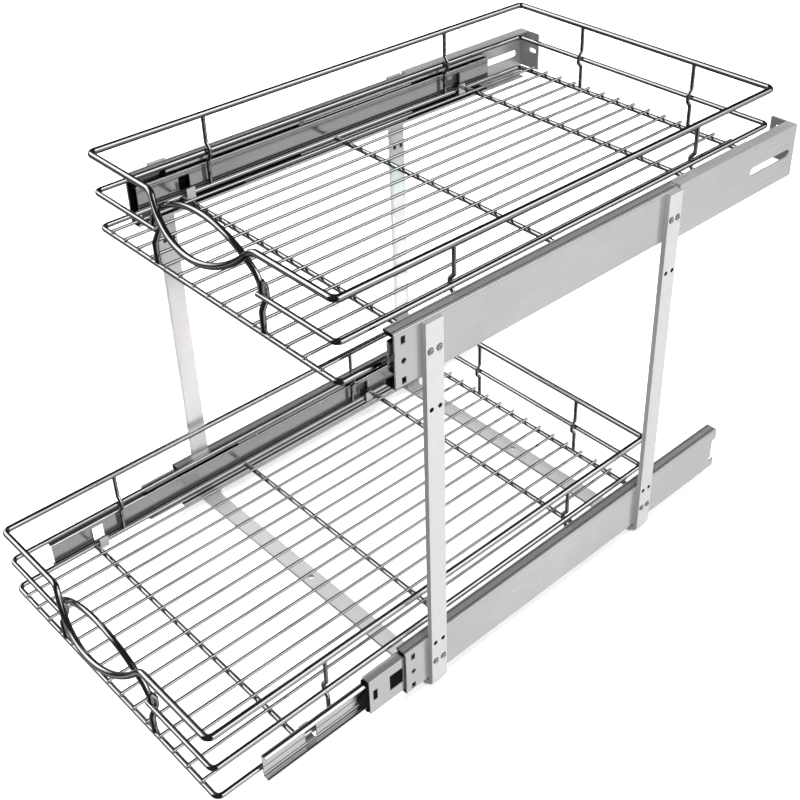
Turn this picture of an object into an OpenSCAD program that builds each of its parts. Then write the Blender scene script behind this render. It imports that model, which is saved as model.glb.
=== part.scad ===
// Two-tier pull-out cabinet basket: two chromed wire baskets on ball-bearing slides, in a frame of
// flat-bar posts that screws to the cabinet floor. Millimetres, +Z up, handles towards -Y.
// The origin is on the cabinet floor, midway between the two floor screws.

/* [Frame] */
// Width over the outer faces of the posts
frame_w = 370; // [350:1:420]
// Height of the posts above the cabinet floor
post_h = 393; // [388:1:400]
// Distance from the front posts to the rear posts, centre to centre
post_pitch = 288; // [260:1:320]
// Width of the post bars and floor straps, front to back
bar_w = 18; // [16:1:24]
// Thickness of the post bars
post_t = 5; // [4:0.5:6]
// Thickness of the floor straps
strap_t = 2.5; // [2:0.5:3]

/* [Slides] */
// Length of the fixed rails
rail_len = 450; // [435:5:465]
// How far the front ends of the fixed rails stand ahead of the origin
rail_front = 179.2; // [175:0.1:183]
// Height of the lower slides' centre line above the cabinet floor
slide_z = 36; // [36:0.5:40]
// Height from the lower slides to the upper slides
tier_pitch = 333; // [328:1:336]
// Furthest that a basket rolls out from closed
full_travel = 430; // [300:5:430]

/* [Baskets] */
// Depth of a basket, front wire to rear wire, on centre lines
basket_depth = 530; // [515:1:540]
// How far the front wire of a closed basket stands ahead of the origin
basket_front = 217.5; // [214:0.5:221]
// Height of the top rim above the floor frame, on centre lines
basket_h = 71.3; // [66:0.1:80]
// Height of the middle rim above the floor frame, on centre lines
mid_h = 34.9; // [33:0.1:37]
// Radius of the top rim's wire
rim_r = 3; // [2.5:0.1:3.2]
// Radius of the middle rim's, floor frame's and cross wires
frame_r = 2.5; // [2.2:0.1:2.6]
// Radius of the floor wires
floor_r = 1.5; // [1.2:0.1:1.8]
// Distance between neighbouring floor wires
floor_pitch = 20.4; // [19:0.1:21]
// Depth of the hand opening below the top rim, along its slope
dip_depth = 32.5; // [26:0.5:34]

/* [Pose at rest] */
// How far the lower basket stands rolled out
lower_out = 149.5; // [0:0.5:280]
// How far the upper basket stands rolled out
upper_out = 0; // [0:0.5:280]

/* [Hidden] */
$fn = 48;
SLIDES = ["lower_left", "lower_right", "upper_left", "upper_right"];
SLIDE_PARTS = ["rail", "rail_bumper", "outer_cage", "outer_balls", "middle_member", "middle_bumper",
    "inner_cage", "inner_balls", "inner_member"];
BASKET_PARTS = ["top_rim", "handle_arch", "middle_rim", "floor_frame", "cross_wires", "floor_wires",
    "uprights"];

STEEL = [0.80, 0.81, 0.82];
CHROME = [0.86, 0.87, 0.88];
POST_PAINT = [0.90, 0.90, 0.90];
BLACK = [0.05, 0.05, 0.05];

// frame
half_w = frame_w / 2;
rail_x = half_w - post_t;
corner_r = 8;
foot_len = 20;
foot_fillet = 3;
strap_half = half_w - corner_r;
floor_hole_r = 2.75;
rivet_in = foot_len - 6;
rivet_r = 2;
hole_gap = 9;
screw_drop = 1.5;
spare_low = 57;
spare_drop = 80;
spare_high = post_h - spare_drop;
spare_r = 2.1;
screw_r = 1.5;
tier_z = [slide_z, slide_z + tier_pitch];

// slide section: s runs inboard from the rail's outer face, z is measured from the slide's middle
slide_t = 12.7;
rail_half = 25;
sheet = 1.5;
rail_corner = 2;
ball_r = 1.95;
race_gap = 0.1;
outer_ball = [7.6, rail_half - sheet - race_gap - ball_r];
mid_half = outer_ball[1] - ball_r - race_gap;
mid_s = 3.0;
mid_end = 11.9;
inner_ball = [8.6, mid_half - sheet - race_gap - ball_r];
inner_half = inner_ball[1] - ball_r - race_gap;
inner_s = 5.8;
inner_t = 1.4;
cage_t = 1.1;
ball_hole_r = ball_r + 0.1;

// slide lengths, each from its front end, closed
mid_set_back = 35;
mid_len = rail_len - 44;
inner_set_back = 3;
inner_len = rail_len - 6;
outer_cage_in = [119, 121];
outer_cage_y = [outer_cage_in[0], rail_len - outer_cage_in[1]];
inner_cage_in = [187, 115];
inner_cage_y = [inner_cage_in[0], rail_len - inner_cage_in[1]];
latch_len = 40;
hook_end = 41;
hook_off = 8;
hook_w = 12;
lip_w = 9;
lip_h = 12;
hook_gap = 0.3;

// rear brackets
bracket_t = 1.5;
bracket_gap = 0.3;
bracket_back = 64;
bracket_flange = 10;
low_flange_end = 6;
slot_back = 40;
slot_half = 27.5;
slot_r = 4;
ear_w = 27;
ear_drop = 15;
ear_hole_in = 18.4;
ear_hole_up = 17;
ear_slot_up = 6;
ear_hole_r = 2.75;
ear_slot_r = 2.5;

// baskets
slide_in = rail_x - slide_t;
side_gap = 4.8;
basket_x = slide_in - side_gap;
basket_z = -7.7;
corner_bend = 6;
upright_r = 2;
arch_r = 2.75;
weld = 0.1;
joint_in = 0.1;
joint_step = 0.04;
upright_end = 115;
upright_y = [upright_end, basket_depth - upright_end];
upright_x = 72;
upright_step = 9;
upright_flat = 3.2;
upright_bend = 3;
slide_y = basket_front - rail_front + inner_set_back;
cross_y = [slide_y + hook_end, slide_y + inner_len / 2, slide_y + inner_len - hook_end];
hook_y = [cross_y[0] + hook_off, cross_y[2] - hook_off];
floor_margin = 8;
floor_n = floor((basket_x - floor_margin) / floor_pitch);
floor_ends = [1, 3.5];

// hand opening in the front
dip_tilt = 22.6;
dip_r = 86;
dip_fillet = 12;
arch_half = 73;
arch_top = basket_h + 5;
arch_bend = 106;
arch_fillet = 20;
arch_set_back = 1.5;
arch_low = 14;
arch_flat = 4;
arch_high = 12;
arch_turn = 4;
rim_stop = 4;

function unit(v) = v / norm(v);
function out_of(t) = t == 0 ? lower_out : upper_out;
function dot(a, b) = a * b;

// ---- shared shapes

// a straight length of wire
module rod(a, b, r) {
    v = b - a;
    translate(a)
        rotate([0, acos(v.z / norm(v)), atan2(v.y, v.x)])
            cylinder(h = norm(v), r = r);
}

// the length that a bend of radius R at corner p takes from each leg
function leg(a, p, b, R) = R * tan(acos(dot(unit(p - a), unit(b - p))) / 2);

// a bend of radius R at corner p, on the way from a to b
module bend(a, p, b, R, r) {
    u = unit(p - a);
    w = unit(b - p);
    n = unit(w - u * dot(u, w));
    k = cross(-n, u);
    c = p - u * leg(a, p, b, R) + n * R;
    multmatrix([
            [-n.x, u.x, k.x, c.x],
            [-n.y, u.y, k.y, c.y],
            [-n.z, u.z, k.z, c.z]])
        rotate_extrude(angle = acos(dot(u, w)))
            translate([R, 0])
                circle(r);
}

// the straight length between corners a and b, a hair thinner than the bends and let into their
// ends, so that the pieces join cleanly
module straight(a, b, cut_a, cut_b, r) {
    u = unit(b - a);
    rod(a + u * max(cut_a - joint_in, 0), b - u * max(cut_b - joint_in, 0), r - joint_step);
}

// an open wire through the points p, bent to the radii R at its inner corners
module open_wire(p, R, r) {
    last = len(p) - 1;
    cut = [for (i = [0 : last])
        i == 0 || i == last ? 0 : leg(p[i - 1], p[i], p[i + 1], R[i - 1])];
    union() {
        for (i = [0 : last - 1])
            straight(p[i], p[i + 1], cut[i], cut[i + 1], r);
        for (i = [1 : last - 1])
            bend(p[i - 1], p[i], p[i + 1], R[i - 1], r);
    }
}

// a closed wire through the points p
module closed_wire(p, R, r) {
    n = len(p);
    cut = [for (i = [0 : n - 1]) leg(p[(i + n - 1) % n], p[i], p[(i + 1) % n], R[i])];
    union() {
        for (i = [0 : n - 1]) {
            next = (i + 1) % n;
            straight(p[i], p[next], cut[i], cut[next], r);
            bend(p[(i + n - 1) % n], p[i], p[next], R[i], r);
        }
    }
}

// right-hand pieces as drawn, left-hand ones mirrored
module on_side(left) {
    if (left)
        mirror([1, 0, 0]) children();
    else
        children();
}

// a sheet section drawn in (s, z), run along Y from the distance y0 behind the rail's front end
module along(y0, length) {
    translate([rail_x, y0 + length - rail_front, 0])
        rotate([90, 0, 0])
            linear_extrude(length)
                mirror([1, 0])
                    children();
}

module span(s0, s1, z0, z1) {
    translate([s0, z0]) square([s1 - s0, z1 - z0]);
}

// the same span above and below the slide's middle
module both(s0, s1, z0, z1) {
    span(s0, s1, z0, z1);
    span(s0, s1, -z1, -z0);
}

// a block in slide coordinates: s range, y range behind the rail's front end, z range
module block(s, y, z) {
    along(y[0], y[1] - y[0]) span(s[0], s[1], z[0], z[1]);
}

// a hole across the slide, at y behind the rail's front end and height z
module side_hole(y, z, r, s) {
    translate([rail_x - s[1], y - rail_front, z])
        rotate([0, 90, 0])
            cylinder(h = s[1] - s[0], r = r);
}

// ---- frame

module post_profile() {
    difference() {
        union() {
            translate([rail_x, strap_t]) square([post_t, post_h - strap_t]);
            translate([half_w - foot_len, strap_t]) square([foot_len, post_t]);
            translate([rail_x - foot_fillet, strap_t + post_t]) square(foot_fillet);
        }
        translate([rail_x - foot_fillet, strap_t + post_t + foot_fillet]) circle(foot_fillet);
        difference() {
            translate([half_w - corner_r, strap_t - 1]) square([corner_r + 1, corner_r + 1]);
            translate([half_w - corner_r, strap_t + corner_r]) circle(corner_r);
        }
    }
}

// y of the front or rear posts
function post_y(front) = (front ? -1 : 1) * post_pitch / 2;

module post_holes(z, r) {
    for (y = [-hole_gap / 2, hole_gap / 2])
        translate([rail_x - 1, y, z])
            rotate([0, 90, 0])
                cylinder(h = post_t + 2, r = r);
}

module post(front, left) {
    color(POST_PAINT)
        on_side(left)
            translate([0, post_y(front), 0])
                difference() {
                    translate([0, bar_w / 2, 0])
                        rotate([90, 0, 0])
                            linear_extrude(bar_w)
                                post_profile();
                    for (z = tier_z)
                        post_holes(z - screw_drop, screw_r + 0.2);
                    for (z = [spare_low, spare_high])
                        post_holes(z, spare_r);
                    translate([half_w - rivet_in, 0, strap_t - 1])
                        cylinder(h = post_t + 2, r = rivet_r + 0.05);
                }
}

module floor_strap(front) {
    color(POST_PAINT)
        translate([0, post_y(front), 0])
            difference() {
                translate([-strap_half, -bar_w / 2, 0])
                    cube([2 * strap_half, bar_w, strap_t]);
                translate([0, 0, -1])
                    cylinder(h = strap_t + 2, r = floor_hole_r);
                for (x = [-1, 1])
                    translate([x * (half_w - rivet_in), 0, -1])
                        cylinder(h = strap_t + 2, r = rivet_r + 0.05);
            }
}

module strap_rivets() {
    color(STEEL)
        for (front = [true, false], x = [-1, 1])
            translate([x * (half_w - rivet_in), post_y(front), 0]) {
                translate([0, 0, 0.3])
                    cylinder(h = strap_t + post_t, r = rivet_r);
                translate([0, 0, strap_t + post_t])
                    cylinder(h = 1, r1 = 3.4, r2 = 2.4);
            }
}

module post_screws() {
    color(STEEL)
        for (left = [true, false], front = [true, false], z = tier_z)
            for (y = [-hole_gap / 2, hole_gap / 2])
                on_side(left)
                    translate([0, post_y(front) + y, z - screw_drop])
                        rotate([0, 90, 0]) {
                            translate([0, 0, rail_x - sheet + 0.1])
                                cylinder(h = post_t + sheet, r = screw_r);
                            difference() {
                                translate([0, 0, half_w])
                                    cylinder(h = 1.2, r1 = 2.7, r2 = 2.3);
                                for (a = [0, 90])
                                    rotate([0, 0, a])
                                        translate([-1.5, -0.3, half_w + 0.6])
                                            cube([3, 0.6, 1]);
                            }
                        }
}

// channel behind each upper rail, with a slot to the cabinet's side and an ear for its back
module rear_bracket(left) {
    y0 = post_pitch / 2 + bar_w / 2 + bracket_gap;
    y1 = rail_len - rail_front + bracket_back;
    lip = rail_half + bracket_gap;
    color(STEEL)
        on_side(left)
            translate([0, 0, tier_z[1]])
                union() {
                    difference() {
                        translate([rail_x, y0, -lip - bracket_t])
                            cube([bracket_t, y1 - y0, 2 * (lip + bracket_t)]);
                        for (y = [-slot_half, slot_half])
                            translate([rail_x - 1, y1 - slot_back + y, 0])
                                rotate([0, 90, 0])
                                    cylinder(h = bracket_t + 2, r = slot_r);
                        translate([rail_x - 1, y1 - slot_back - slot_half, -slot_r])
                            cube([bracket_t + 2, 2 * slot_half, 2 * slot_r]);
                    }
                    translate([rail_x - bracket_flange, y0, lip])
                        cube([bracket_flange, y1 - y0, bracket_t]);
                    translate([rail_x - bracket_flange, y0, -lip - bracket_t])
                        cube([bracket_flange, y1 - low_flange_end - y0, bracket_t]);
                    difference() {
                        translate([rail_x - ear_w, y1 - bracket_t, -ear_drop])
                            cube([ear_w, bracket_t, ear_drop + lip + bracket_t]);
                        translate([rail_x - ear_hole_in, y1 - bracket_t - 1, ear_hole_up])
                            rotate([-90, 0, 0])
                                cylinder(h = bracket_t + 2, r = ear_hole_r);
                        for (x = [-ear_slot_r, ear_slot_r])
                            translate([rail_x - ear_hole_in + x, y1 - bracket_t - 1, ear_slot_up])
                                rotate([-90, 0, 0])
                                    cylinder(h = bracket_t + 2, r = ear_slot_r);
                        translate([rail_x - ear_hole_in - ear_slot_r, y1 - bracket_t - 1, ear_slot_up - ear_slot_r])
                            cube([2 * ear_slot_r, bracket_t + 2, 2 * ear_slot_r]);
                    }
                }
}

// ---- slides

// what the bend of a sheet takes off its outer corners at (s, z) and (s, -z), inboard being the
// way from the corner into the material along s
module bent_corners(s, z, inboard, r) {
    for (k = [-1, 1])
        difference() {
            translate([s + inboard * (r - 1) / 2, k * (z - (r - 1) / 2)])
                square(r + 1, center = true);
            translate([s + inboard * r, k * (z - r)])
                circle(r);
        }
}

module rail_shape() {
    difference() {
        union() {
            span(0, sheet, -rail_half, rail_half);
            both(0, slide_t, rail_half - sheet, rail_half);
            both(slide_t - 1, slide_t, rail_half - sheet - 1.1, rail_half);
        }
        for (s = [3.2, 10])
            both(s, s + 0.9, rail_half - 0.4, rail_half + 1);
        bent_corners(0, rail_half, 1, rail_corner);
    }
}

module rail(tier, left) {
    color(STEEL)
        on_side(left)
            translate([0, 0, tier_z[tier]])
                difference() {
                    along(0, rail_len) rail_shape();
                    side_hole(8.5, -1.5, 2.5, [-1, 3]);
                    block([-1, 3], [6, 10.5], [13.5, 20.5]);
                    block([-1, 3], [6, 10.5], [-22, -16]);
                    block([-1, 3], [rail_len - 6, rail_len + 1], [-14, 12.5]);
                    block([-1, 3], [rail_len - 9, rail_len + 1], [-14, -10.5]);
                    for (front = [true, false], y = [-hole_gap / 2, hole_gap / 2])
                        side_hole(post_y(front) + rail_front + y, -screw_drop, screw_r + 0.05, [-1, 3]);
                }
}

// black stop inside the rail's mouth, open for the middle member
module rail_bumper(tier, left) {
    open_half = mid_half + 1.2;
    inside = rail_half - sheet - 0.3;
    color(BLACK)
        on_side(left)
            translate([0, 0, tier_z[tier]]) {
                along(0.5, 8) {
                    span(sheet + 0.3, mid_s - 0.3, -inside, inside);
                    both(sheet + 0.3, slide_t - 1.3, open_half, inside);
                }
            }
}

// a ball cage: two flanges joined by a strip, with a row of holes above and below
module cage(s, z, y, ball, n) {
    difference() {
        along(y[0], y[1] - y[0])
            union() {
                span(s[0], s[1], -z, z);
                both(s[0], s[2], z - cage_t, z);
            }
        for (i = [0 : n - 1])
            translate([rail_x - ball[0], ball_at(y, n, i), -z - 1])
                cylinder(h = 2 * z + 2, r = ball_hole_r);
    }
}

function ball_at(y, n, i) = y[0] + 8 + (y[1] - y[0] - 16) * i / (n - 1) - rail_front;

module balls(y, ball, n) {
    for (i = [0 : n - 1], z = [-ball[1], ball[1]])
        translate([rail_x - ball[0], ball_at(y, n, i), z])
            sphere(ball_r);
}

// moved to its place in the pose at rest: the share of the basket's travel that the piece makes
module riding(tier, left, share) {
    on_side(left)
        translate([0, -share * out_of(tier), tier_z[tier]])
            children();
}

module outer_cage(tier, left) {
    color(STEEL)
        riding(tier, left, 0.25)
            cage([1.9, 2.6, 10.9], outer_ball[1] + cage_t / 2, outer_cage_y, outer_ball, 7);
}

module outer_balls(tier, left) {
    color(CHROME)
        riding(tier, left, 0.25)
            balls(outer_cage_y, outer_ball, 7);
}

module inner_cage(tier, left) {
    color(STEEL)
        riding(tier, left, 0.75)
            cage([4.6, 5.4, 11.0], inner_ball[1] + cage_t / 2, inner_cage_y, inner_ball, 5);
}

module inner_balls(tier, left) {
    color(CHROME)
        riding(tier, left, 0.75)
            balls(inner_cage_y, inner_ball, 5);
}

module middle_member(tier, left) {
    y = mid_set_back;
    color(STEEL)
        riding(tier, left, 0.5)
            difference() {
                along(y, mid_len)
                    union() {
                        span(mid_s, mid_s + 1.2, -mid_half, mid_half);
                        both(mid_s, mid_end, mid_half - sheet, mid_half);
                        both(mid_s, mid_s + 0.9, mid_half, mid_half + 0.8);
                        both(mid_end - 0.9, mid_end, mid_half, mid_half + 0.8);
                    }
                block([2, 5], [y + 23, y + 38], [-9, 9]);
                block([2, 5], [y + 4, y + 9], [-6, 6]);
            }
}

// black stop at the middle member's front end: fingers that reach ahead of it under the inner
// member, and the latch tongue that shows in its windows
module middle_bumper(tier, left) {
    y = mid_set_back;
    s0 = mid_s + 1.4;
    s1 = inner_s - 0.4;
    inside = mid_half - sheet - 0.3;
    tip = y - 13;
    color(BLACK)
        riding(tier, left, 0.5) {
            along(y - 2, 12)
                both(s0, mid_end, inner_half + 0.3, inside);
            block([s0, s1], [y, y + latch_len], [-8, 8]);
            block([s0, s1], [y - 2, y + 10], [-inside, inside]);
            translate([rail_x - s1, 0, 0])
                rotate([90, 0, 90])
                    linear_extrude(s1 - s0)
                        translate([-rail_front, 0])
                            polygon([[y, 13], [y - 4, 9], [tip, 6], [tip + 3, 2], [tip + 3, -2],
                                [tip, -6], [y - 4, -9], [y, -13]]);
            block([mid_s + 0.1, s1], [y + 4.3, y + 8.7], [-5.7, 5.7]);
            block([mid_s + 0.1, s1], [y + 23.3, y + 37.7], [-5, 7.7]);
        }
}

// hook punched out of the inner member: a shelf under the side wire and a lip behind it. The two
// hooks' lips stand between the outer cross wires, which keep the basket from sliding along
module hook(y) {
    low = basket_z - frame_r - hook_gap;
    lip0 = slide_t + side_gap + frame_r + 1;
    wide = [y - lip_w / 2, y + lip_w / 2];
    block([slide_t - inner_t, lip0 + inner_t], wide, [low - inner_t, low]);
    block([lip0, lip0 + inner_t], wide, [low - inner_t, low - inner_t + lip_h]);
}

module inner_member(tier, left) {
    color(STEEL)
        riding(tier, left, 1)
            union() {
                difference() {
                    along(inner_set_back, inner_len)
                        difference() {
                            union() {
                                span(slide_t - inner_t, slide_t, -inner_half, inner_half);
                                both(inner_s, slide_t, inner_half - sheet, inner_half);
                            }
                            both(slide_t - 0.4, slide_t + 1, inner_half - 3.6, inner_half - 2.6);
                            bent_corners(slide_t, inner_half, -1, inner_t);
                        }
                    for (y = hook_y)
                        block([slide_t - 2, slide_t + 1],
                            [y - hook_w / 2 + rail_front - basket_front,
                            y + hook_w / 2 + rail_front - basket_front],
                            [basket_z - frame_r - hook_gap, inner_half - 4.6]);
                }
                for (y = hook_y)
                    hook(y + rail_front - basket_front);
            }
}

// ---- baskets

// a basket's own place: the origin is the middle of its front wire on the floor frame's level
module in_basket(tier) {
    translate([0, -basket_front - out_of(tier), tier_z[tier] + basket_z])
        children();
}

function dip_point(x, h) = [x, -h * sin(dip_tilt), basket_h - h * cos(dip_tilt)];

module top_rim(tier) {
    turn = acos(1 - dip_depth / (dip_r + dip_fillet)) - 3;
    low = dip_depth + dip_r * (1 / cos(turn) - 1);
    dip_x = low / tan(turn);
    x = basket_x;
    y = basket_depth;
    path = [[-x, 0, basket_h], dip_point(-dip_x, 0), dip_point(0, low), dip_point(dip_x, 0),
        [x, 0, basket_h], [x, y, basket_h], [-x, y, basket_h]];
    color(CHROME)
        in_basket(tier)
            closed_wire(path, [corner_bend, dip_fillet, dip_r, dip_fillet, corner_bend, corner_bend,
                corner_bend], rim_r);
}

// the wire over the hand opening, whose two ends are the basket's front posts: each post steps
// behind the middle rim and comes forward again, so that the arch lies against the dipped rim
module handle_arch(tier) {
    x = arch_half;
    behind = frame_r + arch_r + weld;
    slope = asin((x - arch_fillet) / (arch_bend - arch_fillet)) - 2;
    peak = arch_top + arch_bend * (1 / cos(slope) - 1);
    side = peak - x * tan(slope);
    post = [[0, frame_r + weld], [0, mid_h - arch_low], [behind, mid_h - arch_flat],
        [behind, mid_h + arch_flat], [arch_set_back, mid_h + arch_high], [arch_set_back, side]];
    turns = [for (i = [1 : 4]) arch_turn];
    path = concat(
        [for (p = post) [-x, p[0], p[1]]],
        [[0, arch_set_back, peak]],
        [for (i = [5 : -1 : 0]) [x, post[i][0], post[i][1]]]);
    color(CHROME)
        in_basket(tier)
            open_wire(path, concat(turns, [arch_fillet, arch_bend, arch_fillet], turns), arch_r);
}

module middle_rim(tier) {
    x = basket_x;
    y = basket_depth;
    e = arch_half - rim_stop;
    path = [[-e, 0, mid_h], [-x, 0, mid_h], [-x, y, mid_h], [x, y, mid_h], [x, 0, mid_h],
        [e, 0, mid_h]];
    color(CHROME)
        in_basket(tier)
            open_wire(path, [for (i = [1 : 4]) corner_bend], frame_r);
}

module floor_frame(tier) {
    x = basket_x;
    y = basket_depth;
    color(CHROME)
        in_basket(tier)
            closed_wire([[-x, 0, 0], [x, 0, 0], [x, y, 0], [-x, y, 0]],
                [for (i = [1 : 4]) corner_bend], frame_r);
}

module cross_wires(tier) {
    e = basket_x - frame_r - 2 * weld;
    color(CHROME)
        in_basket(tier)
            for (y = cross_y)
                rod([-e, y, 0], [e, y, 0], frame_r);
}

module floor_wires(tier) {
    z = frame_r + floor_r + weld;
    color(CHROME)
        in_basket(tier)
            for (i = [-floor_n : floor_n])
                rod([i * floor_pitch, -floor_ends[0], z],
                    [i * floor_pitch, basket_depth + floor_ends[1], z], floor_r);
}

// one upright, standing on the floor frame and stepping inside the middle rim
module upright() {
    step = -(frame_r + upright_r + 2 * weld);
    path = [[0, 0, frame_r + weld], [0, 0, mid_h - upright_step], [0, step, mid_h - upright_flat],
        [0, step, mid_h + upright_flat], [0, 0, mid_h + upright_step], [0, 0, basket_h - rim_r - weld]];
    open_wire(path, [for (i = [1 : 4]) upright_bend], upright_r);
}

module uprights(tier) {
    color(CHROME)
        in_basket(tier) {
            for (x = [-upright_x, upright_x])
                translate([x, basket_depth, 0]) upright();
            for (y = upright_y) {
                translate([-basket_x, y, 0]) rotate([0, 0, 90]) upright();
                translate([basket_x, y, 0]) rotate([0, 0, -90]) upright();
            }
        }
}

// ---- assembly

post(true, true);  // front_left_post
post(true, false);  // front_right_post
post(false, true);  // rear_left_post
post(false, false);  // rear_right_post
floor_strap(true);  // front_floor_strap
floor_strap(false);  // rear_floor_strap
strap_rivets();
post_screws();
rear_bracket(true);  // left_rear_bracket
rear_bracket(false);  // right_rear_bracket
for (i = [0 : 3]) {
    tier = floor(i / 2);
    left = i % 2 == 0;
    rail(tier, left);
    rail_bumper(tier, left);
    outer_cage(tier, left);
    outer_balls(tier, left);
    middle_member(tier, left);
    middle_bumper(tier, left);
    inner_cage(tier, left);
    inner_balls(tier, left);
    inner_member(tier, left);
}
for (tier = [0, 1]) {
    name = ["lower_", "upper_"][tier];
    top_rim(tier);
    handle_arch(tier);
    middle_rim(tier);
    floor_frame(tier);
    cross_wires(tier);
    floor_wires(tier);
    uprights(tier);
}
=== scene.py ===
"""Finishes, welds and studio for a two-tier pull-out cabinet basket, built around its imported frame."""

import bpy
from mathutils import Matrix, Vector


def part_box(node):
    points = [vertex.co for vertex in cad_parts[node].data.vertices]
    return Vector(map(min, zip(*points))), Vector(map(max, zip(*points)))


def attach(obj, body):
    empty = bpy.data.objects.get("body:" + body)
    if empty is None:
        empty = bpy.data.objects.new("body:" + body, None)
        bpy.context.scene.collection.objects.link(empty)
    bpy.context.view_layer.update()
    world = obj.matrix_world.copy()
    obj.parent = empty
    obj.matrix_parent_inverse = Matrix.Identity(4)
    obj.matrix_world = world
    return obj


bl_info = {
    "name": "Pull-out Basket Finishes",
    "version": (1, 0, 0),
    "blender": (4, 5, 0),
    "location": "View3D > Sidebar > Pull-out Basket",
    "description": "Finishes, spot welds and a plain studio for a two-tier pull-out cabinet basket",
    "category": "Object",
}

import math

import bmesh
import bpy
from mathutils import Vector

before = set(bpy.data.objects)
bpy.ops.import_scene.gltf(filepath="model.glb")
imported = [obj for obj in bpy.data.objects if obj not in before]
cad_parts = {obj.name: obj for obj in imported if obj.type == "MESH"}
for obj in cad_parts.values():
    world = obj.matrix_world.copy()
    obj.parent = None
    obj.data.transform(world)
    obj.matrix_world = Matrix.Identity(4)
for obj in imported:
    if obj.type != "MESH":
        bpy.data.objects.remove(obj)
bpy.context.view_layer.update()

SIDES = ("lower_left", "lower_right", "upper_left", "upper_right")
TIERS = ("lower", "upper")
WIRES = ("top_rim", "handle_arch", "middle_rim", "floor_frame", "cross_wires", "floor_wires", "uprights")
POSTS = ("front_left_post", "front_right_post", "rear_left_post", "rear_right_post")
STRAPS = ("front_floor_strap", "rear_floor_strap")
BRACKETS = ("left_rear_bracket", "right_rear_bracket")

# the frame, in metres: the rails' outer face and front end, the slides' middles, the posts with their
# hole pairs, and the screws' heads
RAIL_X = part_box("upper_right_rail")[1][0]
RAIL_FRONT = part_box("upper_right_rail")[0][1]
SLIDE_Z = (0.036, 0.369)
POST_Y = 0.144
POST_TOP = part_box("front_right_post")[1][2]
HOLE_GAP = 0.009
SPARE_Z = (0.057, 0.313)
SPARE_R = 0.0021
SCREW_Z = (0.0345, 0.3675)
SCREW_HEAD = 0.003

# the baskets' wires, in metres: radii, the gap between crossing wires, levels above the floor frame,
# floor wires on each side of the middle one, and distances from the front wire or the middle
FRAME_WIRE = 0.0025
TOP_WIRE = 0.003
GAP = 0.0001
MIDDLE_RIM = 0.0349
TOP_RIM = 0.0713
FLOOR_PITCH = 0.0204
FLOOR_WIRES = 7
CROSS_WIRES = (0.0823, 0.2633, 0.4443)
UPRIGHT_END = 0.115
UPRIGHT_ACROSS = 0.072
ARCH_HALF = 0.073
ARCH_FOOT = 0.0004
ARCH_LEAN = 0.0005

# the weld nuggets' half sizes, in metres, and how uneven they are
FLAT_BEAD = (0.0020, 0.0020, 0.0009)
TALL_BEAD = (0.0024, 0.0024, 0.0008)
CROSS_BEAD = (0.0008, 0.0023, 0.0023)
SIDE_RIM_BEAD = (0.0009, 0.0018, 0.0023)
BACK_RIM_BEAD = (0.0018, 0.0009, 0.0023)
ARCH_FOOT_BEAD = (0.0023, 0.0009, 0.0018)
ARCH_RIM_BEAD = (0.0026, 0.0009, 0.0023)
BEAD_LUMP = 0.10
BEAD_WAVES = (5, 4)
BEAD_TURN = 1.7

# bands of painted shade, painted highlight and painted reflection on the slides: side (1 right, -1 left,
# 0 both), depths from the rail's outer face, heights from the slide's middle, the front end, the share
# of the colour that shows, and whether the band is dull
AHEAD = -0.5
BAND_EDGE = 0.00015
BAND_EDGE_UP = 0.0001
BAND_FADE = 0.002
RAIL_BANDS = (
    (0, (0.0016, 0.0123), (0.0135, 0.0249), AHEAD, 0.02, True),
    (0, (0.0016, 0.0123), (-0.0249, -0.0135), AHEAD, 0.02, True),
)
MIDDLE_BANDS = (
    (0, (0.0036, 0.0110), (0.0160, 0.0200), RAIL_FRONT, 0.02, True),
    (0, (0.0036, 0.0110), (-0.0200, -0.0160), RAIL_FRONT, 0.02, True),
)
INNER_BANDS = (
    (0, (0.0060, 0.0111), (0.0120, 0.0160), RAIL_FRONT, 0.02, True),
    (0, (0.0060, 0.0111), (-0.0160, -0.0120), RAIL_FRONT, 0.02, True),
    (1, (0.0108, 0.0116), (-0.0122, 0.0126), AHEAD, 0.68, True),
    (1, (0.0108, 0.0116), (-0.0014, -0.0004), AHEAD, 0.08, True),
    (1, (0.0108, 0.0116), (-0.0092, -0.0078), AHEAD, 0.08, True),
    (1, (0.0108, 0.0116), (-0.0122, -0.0110), AHEAD, 0.08, True),
    (1, (0.0112, 0.0130), (0.0134, 0.0142), AHEAD, 0.50, True),
    (1, (0.0080, 0.0112), (0.0134, 0.0142), AHEAD, 0.03, True),
    (1, (0.0055, 0.0080), (0.0134, 0.0142), AHEAD, 1.30, True),
    (1, (0.0055, 0.0075), (-0.0125, -0.0118), AHEAD, 0.03, True),
    (-1, (0.0124, 0.0140), (-0.0032, 0.0142), AHEAD, 0.62, False),
    (-1, (0.0055, 0.0112), (0.0134, 0.0142), AHEAD, 0.03, True),
    (-1, (0.0112, 0.0130), (0.0134, 0.0142), AHEAD, 0.90, True),
    (-1, (0.0122, 0.0140), (-0.0054, -0.0032), AHEAD, 0.06, True),
    (-1, (0.0122, 0.0140), (-0.0142, -0.0062), AHEAD, 0.03, True),
)

# rings of painted shade on the posts, in the spare holes and around the screw heads: levels, and from
# where to where from a hole's or a screw's middle
POST_RINGS = (
    (SPARE_Z, -0.001, SPARE_R + 0.0002),
    (SCREW_Z, SCREW_HEAD - 0.0004, SCREW_HEAD + 0.0004),
)
RING_EDGE = 0.0002
# levels over which the posts' top ends darken: painted shade on the tops
PAINTED_TOP_SHADE = (POST_TOP - 0.0003, POST_TOP - 0.0001)

# where a noise pattern is taken to start and end
NOISE_ENDS = (0.25, 0.75)

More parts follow.
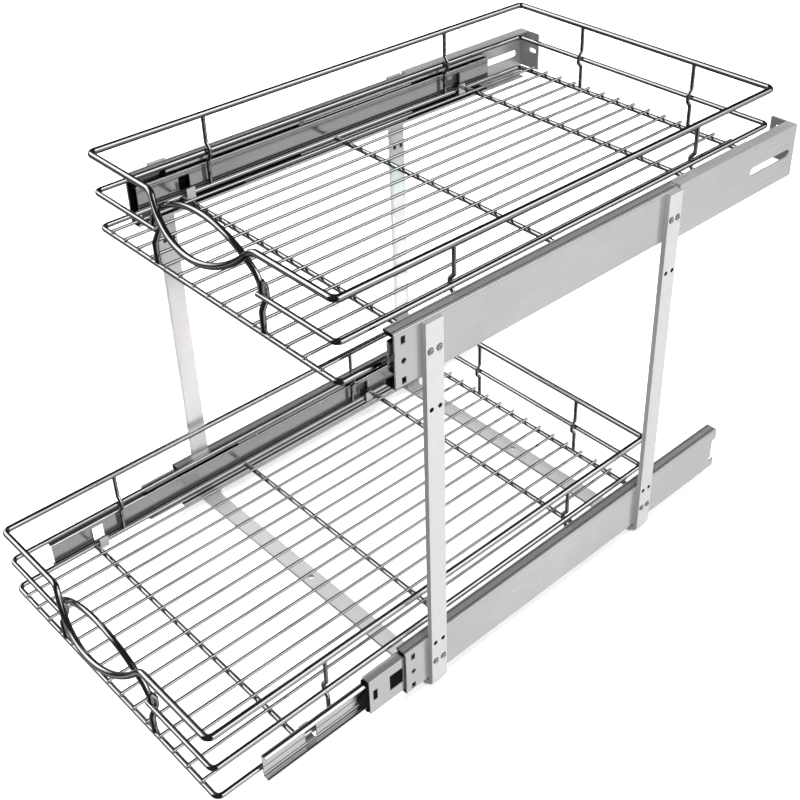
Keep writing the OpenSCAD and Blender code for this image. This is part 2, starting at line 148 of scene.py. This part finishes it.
# lamps: name, place, target, width and height, power, and the beam's spread in degrees
MIDDLE = (0, -0.05, 0.2)
LAMPS = (
    ("right_light", (3.0, -0.4, 0.8), MIDDLE, (2.6, 2.0), 140, 180),
    ("top_light", (-0.2, 0.2, 3.0), MIDDLE, (3.0, 3.0), 200, 180),
    ("shade_light", (-2.8, 0.9, 0.45), MIDDLE, (2.4, 1.2), 90, 180),
    ("left_light", (0.9, -2.5, 0.35), (-0.22, 0.0, 0.14), (0.15, 0.3), 0.24, 8),
    ("rear_light", (2.5, -0.9, 0.2), (-0.185, 0.144, 0.18), (0.08, 0.3), 0.15, 5),
)

# the room that the chrome mirrors. Levels are the Z of a direction: -1 straight down, 1 straight up.
# Turns are how squarely it faces the room's bright side: -1 away from it, 1 straight at it
CURTAIN_WAY = (-0.469, 0.883)
CURTAIN_LEVELS, CURTAIN_REACH = (-0.75, -0.2), (0.72, 0.55)
CURTAIN_EDGE = (-0.05, 0.1)
CURTAIN_FOOT = (-0.95, -0.88)
DARK_CEILING = (0.7, 0.95)
BRIGHT_WAY = (0.719, 0.695)
GROUND_TURNS, GROUND_GREYS = (-0.65, -0.2), (0.25, 0.8)
SKIRTING_TURNS, SKIRTING_GREYS = (-0.2, 0.2), (0.01, 0.3)
SKIRTING_LEVELS = (-0.3, -0.15)
WALL_LEVELS = (0.12, 0.48)
WALL_LIGHT = 1.15
LEAST_LIGHT = 0.015
EVEN_LIGHT = 0.2
LEAST_LENGTH = 0.001

# the floor and the camera
FLOOR_HALF = 6
FLOOR_LEVEL = -0.0005
FLOOR_GLOW = 0.35
EYE = (0.74582, -0.66383, 0.89389)
EYE_TURN = 45.64
EYE_RISE = 33.51
EYE_SHIFT = (-0.0784, -0.0922)
SENSOR = 36
CLIP = (0.01, 50)
WHITE = (1, 1, 1, 1)


# ---- materials


class Sum:
    """Arithmetic on the sockets of a node tree."""

    def __init__(self, tree):
        self.tree = tree

    def do(self, operation, *values):
        made = self.tree.nodes.new("ShaderNodeMath")
        made.operation = operation
        for socket, value in zip(made.inputs, values):
            if isinstance(value, (int, float)):
                socket.default_value = value
            else:
                self.tree.links.new(value, socket)
        return made.outputs[0]

    def length(self, across, along):
        """The length of a flat vector."""
        squares = (self.do("MULTIPLY", value, value) for value in (across, along))
        return self.do("SQRT", self.do("ADD", *squares))

    def facing(self, x, y, way):
        """How squarely the flat direction x, y faces the direction way."""
        along = self.do("ADD", self.do("MULTIPLY", x, way[0]), self.do("MULTIPLY", y, way[1]))
        return self.do("DIVIDE", along, self.do("MAXIMUM", self.length(x, y), LEAST_LENGTH))

    def step(self, value, low, high, start=0.0, end=1.0):
        """A smooth change from start to end while value goes from low to high."""
        made = self.tree.nodes.new("ShaderNodeMapRange")
        made.interpolation_type = "SMOOTHSTEP"
        for key, number in (("From Min", low), ("From Max", high), ("To Min", start), ("To Max", end)):
            made.inputs[key].default_value = number
        self.tree.links.new(value, made.inputs["Value"])
        return made.outputs["Result"]

    def blend(self, share, first, second):
        """From first to second as share goes from 0 to 1."""
        rest = self.do("SUBTRACT", 1.0, share)
        return self.do("ADD", self.do("MULTIPLY", rest, first), self.do("MULTIPLY", share, second))


class Finish:
    """A node material under construction: a Principled shader and helpers that feed it."""

    def __init__(self, name, metallic, roughness):
        self.material = bpy.data.materials.new(name)
        self.material.use_nodes = True
        self.tree = self.material.node_tree
        self.shader = self.tree.nodes["Principled BSDF"]
        self.shader.inputs["Metallic"].default_value = metallic
        self.shader.inputs["Roughness"].default_value = roughness
        self.maths = Sum(self.tree)
        self.tint = None

    def node(self, kind, **values):
        made = self.tree.nodes.new(kind)
        for key, value in values.items():
            if key in made.inputs:
                made.inputs[key].default_value = value
            else:
                setattr(made, key, value)
        return made

    def link(self, source, target):
        self.tree.links.new(source, target)

    def place(self, scale):
        """Object coordinates in metres, times scale along X, Y and Z."""
        where = self.node("ShaderNodeTexCoord")
        mapping = self.node("ShaderNodeMapping", Scale=scale)
        self.link(where.outputs["Object"], mapping.inputs["Vector"])
        return mapping.outputs["Vector"]

    def noise(self, scale, size=(1, 1, 1), detail=3.0, roughness=0.55):
        made = self.node("ShaderNodeTexNoise", Scale=scale, Detail=detail, Roughness=roughness)
        self.link(self.place(size), made.inputs["Vector"])
        return made.outputs["Fac"]

    def ramp(self, source, low, high, start=0.3, end=0.7):
        """Maps a 0 to 1 pattern to a colour between low and high."""
        made = self.node("ShaderNodeValToRGB")
        made.color_ramp.elements[0].position = start
        made.color_ramp.elements[1].position = end
        made.color_ramp.elements[0].color = (*low, 1)
        made.color_ramp.elements[1].color = (*high, 1)
        self.link(source, made.inputs["Fac"])
        return made.outputs["Color"]

    def span(self, source, low, high):
        """Maps a 0 to 1 pattern to a number between low and high."""
        made = self.node("ShaderNodeMapRange")
        for key, number in zip(("From Min", "From Max", "To Min", "To Max"), (*NOISE_ENDS, low, high)):
            made.inputs[key].default_value = number
        self.link(source, made.inputs["Value"])
        return made.outputs["Result"]

    def colour(self, source):
        self.tint = source
        self.link(source, self.shader.inputs["Base Color"])

    def paint_light_and_shade(self, mask, left):
        """Multiplies the colour by left where mask is 1: painted shade where left is below 1, painted
        highlight where it is above 1.
        """
        part = self.maths.do("SUBTRACT", 1.0, self.maths.do("MULTIPLY", mask, 1.0 - left))
        made = self.node("ShaderNodeVectorMath", operation="SCALE")
        self.link(self.tint, made.inputs[0])
        self.link(part, made.inputs["Scale"])
        self.colour(made.outputs["Vector"])

    def split(self, output):
        """X, Y and Z of an output of the texture coordinates: Object or Normal."""
        made = self.node("ShaderNodeSeparateXYZ")
        self.link(self.node("ShaderNodeTexCoord").outputs[output], made.inputs[0])
        return made.outputs

    def within(self, value, low, high, soft):
        """1 where value lies between low and high, 0 elsewhere."""
        rise = self.maths.step(value, low, low + soft)
        fall = self.maths.step(value, high - soft, high, 1.0, 0.0)
        return self.maths.do("MULTIPLY", rise, fall)

    def nearest(self, value, centres):
        """How far value lies from the nearest centre."""
        away = [self.maths.do("ABSOLUTE", self.maths.do("SUBTRACT", value, c)) for c in centres]
        nearest = away[0]
        for other in away[1:]:
            nearest = self.maths.do("MINIMUM", nearest, other)
        return nearest

    def rough(self, source):
        self.link(source, self.shader.inputs["Roughness"])

    def bump(self, source, height):
        made = self.node("ShaderNodeBump", Distance=height, Strength=1.0)
        self.link(source, made.inputs["Height"])
        self.link(made.outputs["Normal"], self.shader.inputs["Normal"])


def shade(colour, factor):
    return tuple(min(1.0, c * factor) for c in colour)


def chrome_finish(name, colour, roughness):
    """Polished plating on drawn wire: a faint cloudiness, a slow waviness, and painted shade that
    darkens the underside.
    """
    made = Finish(name, 1.0, roughness)
    cloud = made.noise(90.0, detail=4.0)
    made.colour(made.ramp(cloud, shade(colour, 0.94), shade(colour, 1.03)))
    made.rough(made.span(made.noise(260.0), roughness * 0.6, roughness * 1.8))
    made.bump(made.noise(140.0), 0.00002)
    # painted shade: the colour darkens as the surface turns downwards
    made.paint_light_and_shade(made.maths.step(made.split("Normal")[2], -0.3, 0.5, 1.0, 0.0), 0.08)
    return made.material


def zinc_finish(name, colour, roughness, metallic=0.8, bands=()):
    """Cold-rolled sheet with zinc plating: fine streaks along the rolling direction, faint clouds, and
    bands of painted shade in the channels and gaps and of painted highlight and painted reflection on
    the exposed members."""
    made = Finish(name, metallic, roughness)
    made.shader.inputs["Specular IOR Level"].default_value = 0.1
    streaks = made.noise(900.0, size=(1, 0.02, 1), detail=2.0)
    cloud = made.noise(28.0, detail=5.0)
    maths = made.maths
    mixed = maths.do("MULTIPLY", maths.do("ADD", streaks, cloud), 0.5)
    made.colour(made.ramp(mixed, shade(colour, 0.965), shade(colour, 1.03), 0.4, 0.6))
    made.rough(made.span(streaks, roughness * 0.85, roughness * 1.2))
    made.bump(streaks, 0.00002)
    if not bands:
        return made.material
    x, y, z = made.split("Object")
    depth = maths.do("SUBTRACT", RAIL_X, maths.do("ABSOLUTE", x))
    upper = maths.do("GREATER_THAN", z, sum(SLIDE_Z) / 2)
    height = maths.do("SUBTRACT", z, maths.blend(upper, *SLIDE_Z))
    metal = metallic
    # each band is painted light: painted shade in the channels and gaps, painted highlight and painted
    # reflection on the exposed members
    for side, depths, heights, front, left, dull in bands:
        across = made.within(depth, *depths, BAND_EDGE)
        band = maths.do("MULTIPLY", across, made.within(height, *heights, BAND_EDGE_UP))
        band = maths.do("MULTIPLY", band, maths.step(y, front - BAND_FADE, front))
        if side:
            on_side = maths.do("GREATER_THAN", maths.do("MULTIPLY", x, side), 0.0)
            band = maths.do("MULTIPLY", band, on_side)
        made.paint_light_and_shade(band, left)
        if dull:
            metal = maths.do("MULTIPLY", maths.do("SUBTRACT", 1.0, band), metal)
    if metal is not metallic:
        made.link(metal, made.shader.inputs["Metallic"])
    return made.material


def paint_finish(name, colour, roughness):
    """Powder coat on flat bar: fine orange peel, a very slight mottling, painted shade in the holes and
    around the screw heads, and painted shade on the top ends.
    """
    made = Finish(name, 0.0, roughness)
    made.shader.inputs["Specular IOR Level"].default_value = 0.3
    mottle = made.noise(60.0, detail=6.0)
    made.colour(made.ramp(mottle, shade(colour, 0.97), shade(colour, 1.02)))
    made.rough(made.span(made.noise(700.0), roughness * 0.85, roughness * 1.2))
    made.bump(made.noise(1500.0, detail=2.0), 0.00005)
    _, y, z = made.split("Object")
    maths = made.maths
    column = made.nearest(maths.do("ABSOLUTE", y), (POST_Y - HOLE_GAP / 2, POST_Y + HOLE_GAP / 2))
    # painted shade: dark rings in the spare holes and around the screw heads
    for levels, low, high in POST_RINGS:
        reach = maths.length(column, made.nearest(z, levels))
        made.paint_light_and_shade(made.within(reach, low, high, RING_EDGE), 0.03)
    # painted shade: the top ends of the posts darken
    made.paint_light_and_shade(maths.step(z, *PAINTED_TOP_SHADE), 0.4)
    return made.material


def plastic_finish(name, colour, roughness):
    """Moulded plastic: spark-eroded grain and dull handling marks."""
    made = Finish(name, 0.0, roughness)
    made.shader.inputs["Specular IOR Level"].default_value = 0.03
    made.colour(made.ramp(made.noise(220.0, detail=4.0), shade(colour, 0.7), shade(colour, 1.6)))
    made.rough(made.span(made.noise(45.0), roughness * 0.8, roughness * 1.25))
    made.bump(made.noise(2500.0, detail=2.0), 0.00004)
    return made.material


def dress(names, material):
    """Gives CAD nodes a finish."""
    for name in names:
        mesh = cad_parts[name].data
        if not mesh.materials:
            mesh.materials.append(material)
        for index in range(len(mesh.materials)):
            mesh.materials[index] = material


# ---- spot welds


def basket_place(tier):
    """The middle of a basket's front wire, and its floor frame's half width and depth on centres."""
    low, high = (Vector(corner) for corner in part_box(f"{tier}_floor_frame"))
    radius = (high.z - low.z) / 2
    front = Vector(((low.x + high.x) / 2, low.y + radius, low.z + radius))
    return front, (high.x - low.x) / 2 - radius, high.y - low.y - 2 * radius


def weld_places(half_width, depth):
    """Where one basket's wires touch, from its front wire's middle, and the nuggets' half sizes."""
    seam = FRAME_WIRE + GAP / 2
    for column in range(-FLOOR_WIRES, FLOOR_WIRES + 1):
        for y in (0.0, *CROSS_WIRES, depth):
            yield (column * FLOOR_PITCH, y, seam), FLAT_BEAD
    for side in (-1, 1):
        for y in CROSS_WIRES:
            yield (side * (half_width - seam), y, 0), CROSS_BEAD
        for y in (UPRIGHT_END, depth - UPRIGHT_END):
            yield (side * half_width, y, seam), TALL_BEAD
            yield (side * half_width, y, TOP_RIM - TOP_WIRE), TALL_BEAD
            yield (side * (half_width - seam), y, MIDDLE_RIM), SIDE_RIM_BEAD
        x = side * UPRIGHT_ACROSS
        yield (x, depth, seam), TALL_BEAD
        yield (x, depth, TOP_RIM - TOP_WIRE), TALL_BEAD
        yield (x, depth - seam, MIDDLE_RIM), BACK_RIM_BEAD
        x = side * ARCH_HALF
        yield (x, seam, ARCH_FOOT), ARCH_FOOT_BEAD
        yield (x - side * ARCH_LEAN, seam, MIDDLE_RIM), ARCH_RIM_BEAD


def bead(form, place, size, turn):
    """A squeezed-out weld nugget: a squashed round lump with an uneven edge."""
    made = bmesh.ops.create_icosphere(form, subdivisions=2, radius=1.0)
    first, second = BEAD_WAVES
    for vertex in made["verts"]:
        wave = math.sin(first * vertex.co.x + turn) * math.cos(second * vertex.co.y - turn)
        lump = 1 + BEAD_LUMP * wave
        vertex.co = Vector(place) + Vector([c * s * lump for c, s in zip(vertex.co, size)])


def make_welds(tier, material):
    """All the weld nuggets of one basket."""
    place, half_width, depth = basket_place(tier)
    form = bmesh.new()
    for count, (spot, size) in enumerate(weld_places(half_width, depth)):
        bead(form, place + Vector(spot), size, BEAD_TURN * count)
    mesh = bpy.data.meshes.new(f"{tier}_spot_welds")
    form.to_mesh(mesh)
    form.free()
    for face in mesh.polygons:
        face.use_smooth = True
    mesh.materials.append(material)
    welds = bpy.data.objects.new(f"{tier}_spot_welds", mesh)
    bpy.context.scene.collection.objects.link(welds)
    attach(welds, f"{tier}_basket")


# ---- colours and studio settings


class BasketFinishes(bpy.types.PropertyGroup):
    """Colours and gloss of the basket's surfaces."""

    chrome: bpy.props.FloatVectorProperty(
        name="Chrome", description="Colour of the plated wires", subtype="COLOR",
        size=3, min=0, max=1, default=(0.88, 0.885, 0.89))
    chrome_roughness: bpy.props.FloatProperty(
        name="Chrome roughness", description="Roughness of the plated wires", subtype="FACTOR",
        min=0.01, max=0.5, default=0.05)
    zinc: bpy.props.FloatVectorProperty(
        name="Zinc", description="Colour of the slides' plating", subtype="COLOR",
        size=3, min=0, max=1, default=(0.59, 0.59, 0.594))
    zinc_roughness: bpy.props.FloatProperty(
        name="Zinc roughness", description="Roughness of the slides' plating", subtype="FACTOR",
        min=0.1, max=0.9, default=0.22)
    posts: bpy.props.FloatVectorProperty(
        name="Posts", description="Colour of the posts and floor straps", subtype="COLOR",
        size=3, min=0, max=1, default=(0.50, 0.50, 0.50))
    brackets: bpy.props.FloatVectorProperty(
        name="Brackets", description="Colour of the rear brackets' plating", subtype="COLOR",
        size=3, min=0, max=1, default=(0.59, 0.59, 0.594))
    plastic: bpy.props.FloatVectorProperty(
        name="Plastic", description="Colour of the bumpers in the slides", subtype="COLOR",
        size=3, min=0, max=1, default=(0.003, 0.003, 0.003))


class BasketStudio(bpy.types.PropertyGroup):
    """Floor, light and camera."""

    floor: bpy.props.FloatVectorProperty(
        name="Floor", description="Colour of the studio floor", subtype="COLOR",
        size=3, min=0, max=1, default=(0.9, 0.9, 0.9))
    focal_length: bpy.props.FloatProperty(
        name="Focal length", description="The camera's focal length", unit="CAMERA",
        min=20, max=200, default=56.31)


# ---- pieces


class BASKET_OT_wires(bpy.types.Operator):
    """Plates the wires of both baskets"""

    bl_idname = "basket.wires"
    bl_label = "Chrome Wires"

    def execute(self, context):
        look = context.scene.basket_finishes
        chrome = chrome_finish("chrome_wire", look.chrome, look.chrome_roughness)
        dress([f"{tier}_{part}" for tier in TIERS for part in WIRES], chrome)
        return {"FINISHED"}


class BASKET_OT_welds(bpy.types.Operator):
    """Adds the weld nuggets where wires cross"""

    bl_idname = "basket.welds"
    bl_label = "Spot Welds"

    def execute(self, context):
        look = context.scene.basket_finishes
        plated = chrome_finish("plated_weld", shade(look.chrome, 0.9), 0.16)
        for tier in TIERS:
            make_welds(tier, plated)
        return {"FINISHED"}


class BASKET_OT_slides(bpy.types.Operator):
    """Plates the slides' rolled members and ball cages"""

    bl_idname = "basket.slides"
    bl_label = "Slides"

    def execute(self, context):
        look = context.scene.basket_finishes
        rough = look.zinc_roughness
        for part, roughness, bands in (
            ("rail", rough, RAIL_BANDS),
            ("middle_member", rough * 0.6, MIDDLE_BANDS),
            ("inner_member", rough * 0.6, INNER_BANDS),
            ("outer_cage", rough, ()),
            ("inner_cage", rough, ()),
        ):
            finish = zinc_finish(f"zinc_{part}", look.zinc, roughness, bands=bands)
            dress([f"{side}_{part}" for side in SIDES], finish)
        return {"FINISHED"}


class BASKET_OT_balls(bpy.types.Operator):
    """Polishes the slides' balls"""

    bl_idname = "basket.balls"
    bl_label = "Balls"

    def execute(self, context):
        steel = chrome_finish("ball_steel", (0.8, 0.8, 0.81), 0.08)
        dress([f"{side}_{part}" for side in SIDES for part in ("outer_balls", "inner_balls")], steel)
        return {"FINISHED"}


class BASKET_OT_bumpers(bpy.types.Operator):
    """Moulds the black bumpers at the slides' front ends"""

    bl_idname = "basket.bumpers"
    bl_label = "Bumpers"

    def execute(self, context):
        look = context.scene.basket_finishes
        plastic = plastic_finish("black_plastic", look.plastic, 0.5)
        dress([f"{side}_{part}" for side in SIDES for part in ("rail_bumper", "middle_bumper")], plastic)
        return {"FINISHED"}


class BASKET_OT_posts(bpy.types.Operator):
    """Coats the posts and floor straps"""

    bl_idname = "basket.posts"
    bl_label = "Posts and Straps"

    def execute(self, context):
        look = context.scene.basket_finishes
        dress(POSTS + STRAPS, paint_finish("post_paint", look.posts, 0.45))
        return {"FINISHED"}


class BASKET_OT_brackets(bpy.types.Operator):
    """Plates the rear brackets"""

    bl_idname = "basket.brackets"
    bl_label = "Rear Brackets"

    def execute(self, context):
        look = context.scene.basket_finishes
        dress(BRACKETS, zinc_finish("bracket_zinc", look.brackets, 0.3, 0.7))
        return {"FINISHED"}


class BASKET_OT_fasteners(bpy.types.Operator):
    """Plates the screws and rivets"""

    bl_idname = "basket.fasteners"
    bl_label = "Screws and Rivets"

    def execute(self, context):
        dress(("post_screws", "strap_rivets"), zinc_finish("screw_zinc", (0.42, 0.42, 0.42), 0.25))
        return {"FINISHED"}


# ---- studio


def area_light(name, place, target, size, energy, spread):
    """A soft rectangular lamp at place, aimed at target, its beam as wide as spread in degrees."""
    data = bpy.data.lights.new(name, "AREA")
    data.shape = "RECTANGLE"
    data.size, data.size_y = size
    data.energy = energy
    data.spread = math.radians(spread)
    lamp = bpy.data.objects.new(name, data)
    bpy.context.scene.collection.objects.link(lamp)
    lamp.location = place
    lamp.rotation_euler = (Vector(target) - Vector(place)).to_track_quat("-Z", "Y").to_euler()
    lamp.visible_glossy = False


def background(tree, strength):
    """White light of a strength that is a number or a socket."""
    made = tree.nodes.new("ShaderNodeBackground")
    made.inputs["Color"].default_value = WHITE
    if isinstance(strength, (int, float)):
        made.inputs["Strength"].default_value = strength
    else:
        tree.links.new(strength, made.inputs["Strength"])
    return made.outputs[0]


def choose(tree, share, first, second):
    """The second shader where share is 1, the first where it is 0."""
    made = tree.nodes.new("ShaderNodeMixShader")
    tree.links.new(share, made.inputs["Fac"])
    tree.links.new(first, made.inputs[1])
    tree.links.new(second, made.inputs[2])
    return made.outputs[0]


def mirrored_room(maths, x, y, z):
    """How bright the mirrored room is in a direction: pale walls, a grey skirting and ground, a dark
    ceiling, and a dark curtain at two ends."""
    reach = maths.step(z, *CURTAIN_LEVELS, *CURTAIN_REACH)
    towards = maths.do("ABSOLUTE", maths.facing(x, y, CURTAIN_WAY))
    curtain = maths.step(maths.do("SUBTRACT", towards, reach), *CURTAIN_EDGE)
    curtain = maths.do("MULTIPLY", curtain, maths.step(z, *CURTAIN_FOOT))
    dark = maths.do("MAXIMUM", curtain, maths.step(z, *DARK_CEILING))
    turn = maths.facing(x, y, BRIGHT_WAY)
    ground = maths.step(turn, *GROUND_TURNS, *GROUND_GREYS)
    skirting = maths.step(turn, *SKIRTING_TURNS, *SKIRTING_GREYS)
    low = maths.blend(maths.step(z, *SKIRTING_LEVELS), ground, skirting)
    pale = maths.blend(maths.step(z, *WALL_LEVELS), low, WALL_LIGHT)
    return maths.do("ADD", maths.do("MULTIPLY", maths.do("SUBTRACT", 1.0, dark), pale), LEAST_LIGHT)


def hang_world(scene):
    """An even white light, and for mirrored light a room."""
    world = bpy.data.worlds.new("studio")
    scene.world = world
    world.use_nodes = True
    tree = world.node_tree
    tree.nodes.clear()
    where = tree.nodes.new("ShaderNodeTexCoord")
    split = tree.nodes.new("ShaderNodeSeparateXYZ")
    tree.links.new(where.outputs["Generated"], split.inputs[0])
    mirrored = background(tree, mirrored_room(Sum(tree), *split.outputs))
    path = tree.nodes.new("ShaderNodeLightPath")
    even, seen = background(tree, EVEN_LIGHT), background(tree, 1.0)
    plain = choose(tree, path.outputs["Is Camera Ray"], even, seen)
    out = tree.nodes.new("ShaderNodeOutputWorld")
    tree.links.new(choose(tree, path.outputs["Is Glossy Ray"], plain, mirrored), out.inputs["Surface"])


def lay_floor(scene, colour):
    """A pale floor that the chrome doesn't mirror."""
    mesh = bpy.data.meshes.new("studio_floor")
    form = bmesh.new()
    bmesh.ops.create_grid(form, x_segments=1, y_segments=1, size=FLOOR_HALF)
    form.to_mesh(mesh)
    form.free()
    floor = bpy.data.objects.new("studio_floor", mesh)
    floor.location = (0, 0, FLOOR_LEVEL)
    scene.collection.objects.link(floor)
    cover = Finish("studio_floor", 0.0, 0.8)
    cover.colour(cover.ramp(cover.noise(3.0), shade(colour, 0.995), shade(colour, 1.005)))
    cover.shader.inputs["Emission Color"].default_value = WHITE
    cover.shader.inputs["Emission Strength"].default_value = FLOOR_GLOW
    mesh.materials.append(cover.material)
    floor.visible_glossy = False
    floor.visible_diffuse = False


def place_camera(scene, focal_length):
    """The camera, in front of the right front post and above it."""
    camera = bpy.data.cameras.new("camera")
    camera.sensor_width = SENSOR
    camera.lens = focal_length
    camera.shift_x, camera.shift_y = EYE_SHIFT
    camera.clip_start, camera.clip_end = CLIP
    eye = bpy.data.objects.new("camera", camera)
    scene.collection.objects.link(eye)
    turn, rise = math.radians(EYE_TURN), math.radians(EYE_RISE)
    flat = math.cos(rise)
    back = Vector((math.sin(turn) * flat, -math.cos(turn) * flat, math.sin(rise)))
    eye.location = EYE
    eye.rotation_euler = (-back).to_track_quat("-Z", "Y").to_euler()
    scene.camera = eye


class BASKET_OT_studio(bpy.types.Operator):
    """Lays the pale floor, hangs the soft lights and sets up the camera"""

    bl_idname = "basket.studio"
    bl_label = "Studio"

    def execute(self, context):
        scene = context.scene
        studio = scene.basket_studio
        lay_floor(scene, studio.floor)
        hang_world(scene)
        for lamp in LAMPS:
            area_light(*lamp)
        scene.view_settings.view_transform = "Standard"
        place_camera(scene, studio.focal_length)
        return {"FINISHED"}


class BASKET_PT_panel(bpy.types.Panel):
    """Lists the pieces, their colours and the studio"""

    bl_label = "Pull-out Basket"
    bl_idname = "BASKET_PT_panel"
    bl_space_type = "VIEW_3D"
    bl_region_type = "UI"
    bl_category = "Pull-out Basket"

    def draw(self, context):
        for group in (context.scene.basket_finishes, context.scene.basket_studio):
            for key in group.bl_rna.properties.keys():
                if key not in ("rna_type", "name"):
                    self.layout.prop(group, key)
        for operator in STEPS:
            self.layout.operator(operator.bl_idname)


STEPS = (
    BASKET_OT_wires, BASKET_OT_welds, BASKET_OT_slides, BASKET_OT_balls, BASKET_OT_bumpers,
    BASKET_OT_posts, BASKET_OT_brackets, BASKET_OT_fasteners, BASKET_OT_studio,
)
CLASSES = (BasketFinishes, BasketStudio) + STEPS + (BASKET_PT_panel,)


def register():
    for made in CLASSES:
        bpy.utils.register_class(made)
    bpy.types.Scene.basket_finishes = bpy.props.PointerProperty(type=BasketFinishes)
    bpy.types.Scene.basket_studio = bpy.props.PointerProperty(type=BasketStudio)


def unregister():
    del bpy.types.Scene.basket_studio
    del bpy.types.Scene.basket_finishes
    for made in reversed(CLASSES):
        bpy.utils.unregister_class(made)


def main():
    register()
    for operator in STEPS:
        area, name = operator.bl_idname.split(".")
        getattr(getattr(bpy.ops, area), name)()


if __name__ == "__main__":
    main()
